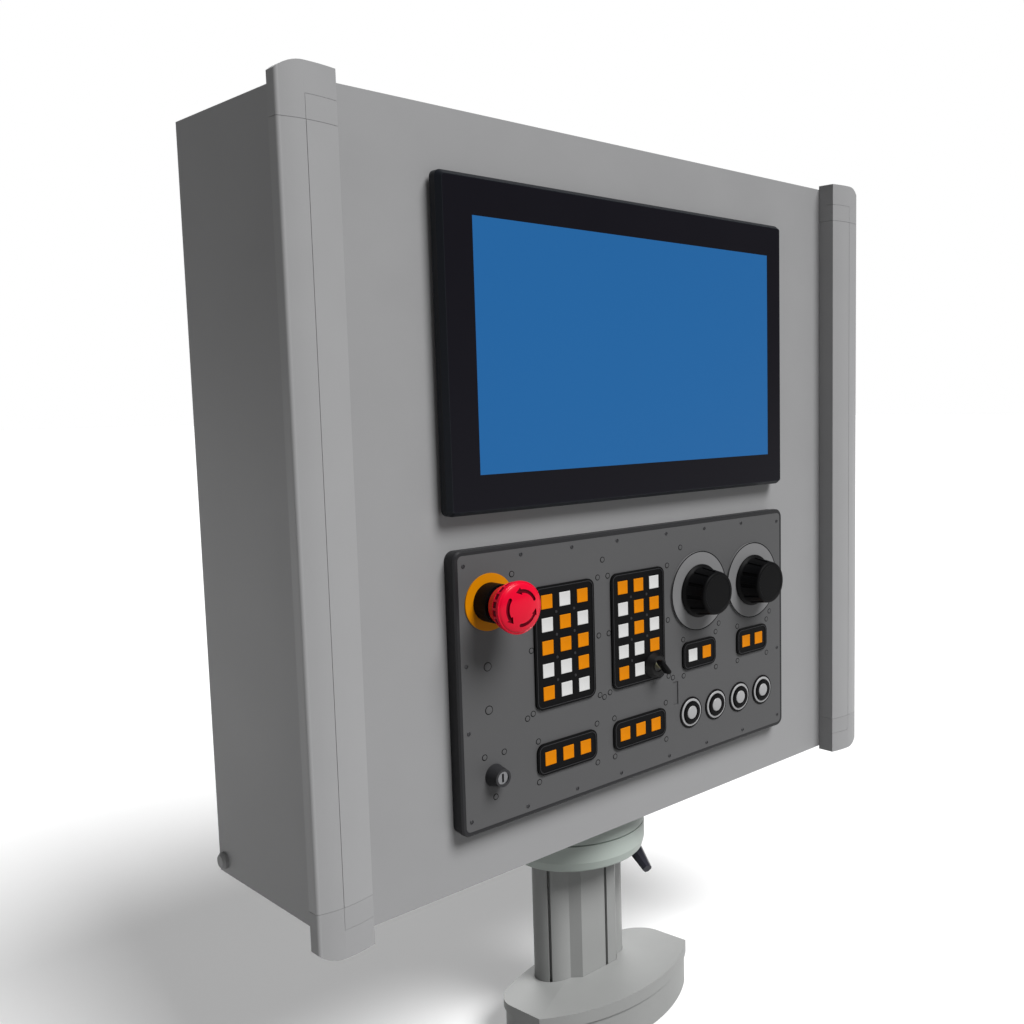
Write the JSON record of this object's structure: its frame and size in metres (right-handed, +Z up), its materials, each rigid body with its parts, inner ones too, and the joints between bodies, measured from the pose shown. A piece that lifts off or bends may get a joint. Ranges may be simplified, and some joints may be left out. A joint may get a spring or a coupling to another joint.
{
  "type": "machine operator panel on a swivel column",
  "caption": "Square sheet-steel operator housing with display, key fields, dials and emergency stop, grip rails and rear door, on a swivel coupling, column and cast foot.",
  "frame": {"origin": "centre of the cable hole in the foot's underside, on the swivel axis", "axes": "+Z up along the swivel axis, -Y towards the operator, +X to the right as seen by the operator"},
  "size_m": [0.75, 0.2908, 0.9462],
  "materials": {
    "housing_paint": "fine powder coat, semi-matt",
    "rail_aluminium": "smooth powder coat on aluminium, semi-matt",
    "cap_plastic": "moulded, fine grain",
    "coupling_paint": "cast and painted, semi-gloss",
    "column_paint": "extruded, painted",
    "base_paint": "cast and painted, semi-matt",
    "black_plastic": "moulded, matt",
    "black_glass": "smooth, glossy",
    "screen": "lit area, smooth",
    "anodised_frame": "black anodised",
    "faceplate_grey": "matt film on a plate",
    "orange_plastic": "moulded, satin",
    "mixed_keys": "moulded caps in orange and white, satin",
    "yellow_film": "satin",
    "red_plastic": "moulded, glossy",
    "dial_film": "satin film",
    "steel": "zinc plated",
    "lock_metal": "satin chrome",
    "seal_rubber": "foam rubber",
    "dark_cast": "painted die casting"
  },
  "bodies": {
    "stand": {"base_casting": "base_paint", "column_profile": "column_paint", "coupling_ring": "coupling_paint"},
    "clamp_lever": {"clamp_lever": "dark_cast"},
    "panel": {"coupling_flange": "coupling_paint", "housing_wrapper": "housing_paint", "front_plate": "housing_paint", "handle_profiles": "rail_aluminium", "handle_cover_strips": "rail_aluminium", "handle_end_caps": "cap_plastic", "vent_plug": "black_plastic", "door_hinges": "steel", "display_frame": "anodised_frame", "display_glass": "black_glass", "display_screen": "screen", "display_back_box": "steel", "control_frame": "black_plastic", "control_faceplate": "faceplate_grey", "faceplate_screws": "steel", "key_frames": "black_plastic", "estop_ring": "yellow_film", "estop_socket": "black_plastic", "dial_plates": "dial_film", "pushbutton_bezels": "black_plastic", "key_switch_bodies": "black_plastic", "switch_blocks": "black_plastic"},
    "rear_door": {"rear_door": "housing_paint", "door_seal": "seal_rubber"},
    "upper_lock": {"upper_lock": "lock_metal"},
    "lower_lock": {"lower_lock": "lock_metal"},
    "estop_plunger": {"estop_plunger": "red_plastic"},
    "estop_mushroom": {"estop_mushroom": "red_plastic"},
    "feed_override_knob": {"feed_override_knob": "black_plastic"},
    "spindle_override_knob": {"spindle_override_knob": "black_plastic"},
    "keyswitch_rotor": {"keyswitch_rotor": "lock_metal"},
    "mode_key": {"mode_key": "black_plastic"},
    "keypad_left_row_1": {"keypad_left_row_1": "mixed_keys"},
    "keypad_left_row_2": {"keypad_left_row_2": "mixed_keys"},
    "keypad_left_row_3": {"keypad_left_row_3": "mixed_keys"},
    "keypad_left_row_4": {"keypad_left_row_4": "mixed_keys"},
    "keypad_left_row_5": {"keypad_left_row_5": "mixed_keys"},
    "keypad_right_row_1": {"keypad_right_row_1": "mixed_keys"},
    "keypad_right_row_2": {"keypad_right_row_2": "mixed_keys"},
    "keypad_right_row_3": {"keypad_right_row_3": "mixed_keys"},
    "keypad_right_row_4": {"keypad_right_row_4": "mixed_keys"},
    "keypad_right_row_5": {"keypad_right_row_5": "mixed_keys"},
    "function_key_1": {"function_key_1": "orange_plastic"},
    "function_key_2": {"function_key_2": "orange_plastic"},
    "function_key_3": {"function_key_3": "orange_plastic"},
    "function_key_4": {"function_key_4": "orange_plastic"},
    "function_key_5": {"function_key_5": "orange_plastic"},
    "function_key_6": {"function_key_6": "orange_plastic"},
    "axis_key_1": {"axis_key_1": "orange_plastic"},
    "axis_key_2": {"axis_key_2": "orange_plastic"},
    "axis_key_3": {"axis_key_3": "orange_plastic"},
    "axis_key_4": {"axis_key_4": "orange_plastic"},
    "pushbutton_1": {"pushbutton_1": "black_plastic"},
    "pushbutton_2": {"pushbutton_2": "black_plastic"},
    "pushbutton_3": {"pushbutton_3": "black_plastic"},
    "pushbutton_4": {"pushbutton_4": "black_plastic"}
  },
  "joints": [
    {"name": "panel_swivel", "type": "hinge", "parent": "stand", "child": "panel", "pos_m": [0, 0, 0.215], "axis": [0, 0, 1], "range_deg": [-150, 150]},
    {"name": "clamp_lever_turn", "type": "hinge", "parent": "stand", "child": "clamp_lever", "pos_m": [0.056, -0.031, 0.178], "axis": [0, 0, 1], "range_deg": [-40, 80]},
    {"name": "rear_door_swing", "type": "hinge", "parent": "panel", "child": "rear_door", "pos_m": [-0.321, 0.1205, 0.592], "axis": [0, 0, 1], "range_deg": [0, 110]},
    {"name": "upper_lock_turn", "type": "hinge", "parent": "rear_door", "child": "upper_lock", "pos_m": [0.29, 0.1145, 0.742], "axis": [0, 1, 0], "range_deg": [0, 90]},
    {"name": "lower_lock_turn", "type": "hinge", "parent": "rear_door", "child": "lower_lock", "pos_m": [0.29, 0.1145, 0.442], "axis": [0, 1, 0], "range_deg": [0, 90]},
    {"name": "estop_press", "type": "slide", "parent": "panel", "child": "estop_plunger", "axis": [0, 1, 0], "range_m": [0, 0.004]},
    {"name": "estop_twist", "type": "hinge", "parent": "estop_plunger", "child": "estop_mushroom", "pos_m": [-0.1937, -0.15, 0.5089], "axis": [0, -1, 0], "range_deg": [0, 45], "stiffness_Nm_per_rad": 0.05, "springref_deg": -11.46},
    {"name": "feed_override_turn", "type": "hinge", "parent": "panel", "child": "feed_override_knob", "pos_m": [0.0842, -0.13, 0.4804], "axis": [0, -1, 0], "range_deg": [-135, 135]},
    {"name": "spindle_override_turn", "type": "hinge", "parent": "panel", "child": "spindle_override_knob", "pos_m": [0.1736, -0.13, 0.4804], "axis": [0, -1, 0], "range_deg": [-135, 135]},
    {"name": "keyswitch_turn", "type": "hinge", "parent": "panel", "child": "keyswitch_rotor", "pos_m": [-0.1937, -0.125, 0.3469], "axis": [0, 1, 0], "range_deg": [0, 90]},
    {"name": "mode_key_turn", "type": "hinge", "parent": "panel", "child": "mode_key", "pos_m": [0.0135, -0.125, 0.4108], "axis": [0, 1, 0], "range_deg": [0, 80]},
    {"name": "keypad_left_row_1_press", "type": "slide", "parent": "panel", "child": "keypad_left_row_1", "axis": [0, 1, 0], "range_m": [0, 0.0015], "stiffness_N_per_m": 400, "springref_m": -0.001},
    {"name": "keypad_left_row_2_press", "type": "slide", "parent": "panel", "child": "keypad_left_row_2", "axis": [0, 1, 0], "range_m": [0, 0.0015], "stiffness_N_per_m": 400, "springref_m": -0.001},
    {"name": "keypad_left_row_3_press", "type": "slide", "parent": "panel", "child": "keypad_left_row_3", "axis": [0, 1, 0], "range_m": [0, 0.0015], "stiffness_N_per_m": 400, "springref_m": -0.001},
    {"name": "keypad_left_row_4_press", "type": "slide", "parent": "panel", "child": "keypad_left_row_4", "axis": [0, 1, 0], "range_m": [0, 0.0015], "stiffness_N_per_m": 400, "springref_m": -0.001},
    {"name": "keypad_left_row_5_press", "type": "slide", "parent": "panel", "child": "keypad_left_row_5", "axis": [0, 1, 0], "range_m": [0, 0.0015], "stiffness_N_per_m": 400, "springref_m": -0.001},
    {"name": "keypad_right_row_1_press", "type": "slide", "parent": "panel", "child": "keypad_right_row_1", "axis": [0, 1, 0], "range_m": [0, 0.0015], "stiffness_N_per_m": 400, "springref_m": -0.001},
    {"name": "keypad_right_row_2_press", "type": "slide", "parent": "panel", "child": "keypad_right_row_2", "axis": [0, 1, 0], "range_m": [0, 0.0015], "stiffness_N_per_m": 400, "springref_m": -0.001},
    {"name": "keypad_right_row_3_press", "type": "slide", "parent": "panel", "child": "keypad_right_row_3", "axis": [0, 1, 0], "range_m": [0, 0.0015], "stiffness_N_per_m": 400, "springref_m": -0.001},
    {"name": "keypad_right_row_4_press", "type": "slide", "parent": "panel", "child": "keypad_right_row_4", "axis": [0, 1, 0], "range_m": [0, 0.0015], "stiffness_N_per_m": 400, "springref_m": -0.001},
    {"name": "keypad_right_row_5_press", "type": "slide", "parent": "panel", "child": "keypad_right_row_5", "axis": [0, 1, 0], "range_m": [0, 0.0015], "stiffness_N_per_m": 400, "springref_m": -0.001},
    {"name": "function_key_1_press", "type": "slide", "parent": "panel", "child": "function_key_1", "axis": [0, 1, 0], "range_m": [0, 0.0015], "stiffness_N_per_m": 400, "springref_m": -0.001},
    {"name": "function_key_2_press", "type": "slide", "parent": "panel", "child": "function_key_2", "axis": [0, 1, 0], "range_m": [0, 0.0015], "stiffness_N_per_m": 400, "springref_m": -0.001},
    {"name": "function_key_3_press", "type": "slide", "parent": "panel", "child": "function_key_3", "axis": [0, 1, 0], "range_m": [0, 0.0015], "stiffness_N_per_m": 400, "springref_m": -0.001},
    {"name": "function_key_4_press", "type": "slide", "parent": "panel", "child": "function_key_4", "axis": [0, 1, 0], "range_m": [0, 0.0015], "stiffness_N_per_m": 400, "springref_m": -0.001},
    {"name": "function_key_5_press", "type": "slide", "parent": "panel", "child": "function_key_5", "axis": [0, 1, 0], "range_m": [0, 0.0015], "stiffness_N_per_m": 400, "springref_m": -0.001},
    {"name": "function_key_6_press", "type": "slide", "parent": "panel", "child": "function_key_6", "axis": [0, 1, 0], "range_m": [0, 0.0015], "stiffness_N_per_m": 400, "springref_m": -0.001},
    {"name": "axis_key_1_press", "type": "slide", "parent": "panel", "child": "axis_key_1", "axis": [0, 1, 0], "range_m": [0, 0.0015], "stiffness_N_per_m": 400, "springref_m": -0.001},
    {"name": "axis_key_2_press", "type": "slide", "parent": "panel", "child": "axis_key_2", "axis": [0, 1, 0], "range_m": [0, 0.0015], "stiffness_N_per_m": 400, "springref_m": -0.001},
    {"name": "axis_key_3_press", "type": "slide", "parent": "panel", "child": "axis_key_3", "axis": [0, 1, 0], "range_m": [0, 0.0015], "stiffness_N_per_m": 400, "springref_m": -0.001},
    {"name": "axis_key_4_press", "type": "slide", "parent": "panel", "child": "axis_key_4", "axis": [0, 1, 0], "range_m": [0, 0.0015], "stiffness_N_per_m": 400, "springref_m": -0.001},
    {"name": "pushbutton_1_press", "type": "slide", "parent": "panel", "child": "pushbutton_1", "axis": [0, 1, 0], "range_m": [0, 0.0025], "stiffness_N_per_m": 400, "springref_m": -0.002},
    {"name": "pushbutton_2_press", "type": "slide", "parent": "panel", "child": "pushbutton_2", "axis": [0, 1, 0], "range_m": [0, 0.0025], "stiffness_N_per_m": 400, "springref_m": -0.002},
    {"name": "pushbutton_3_press", "type": "slide", "parent": "panel", "child": "pushbutton_3", "axis": [0, 1, 0], "range_m": [0, 0.0025], "stiffness_N_per_m": 400, "springref_m": -0.002},
    {"name": "pushbutton_4_press", "type": "slide", "parent": "panel", "child": "pushbutton_4", "axis": [0, 1, 0], "range_m": [0, 0.0025], "stiffness_N_per_m": 400, "springref_m": -0.002}
  ]
}
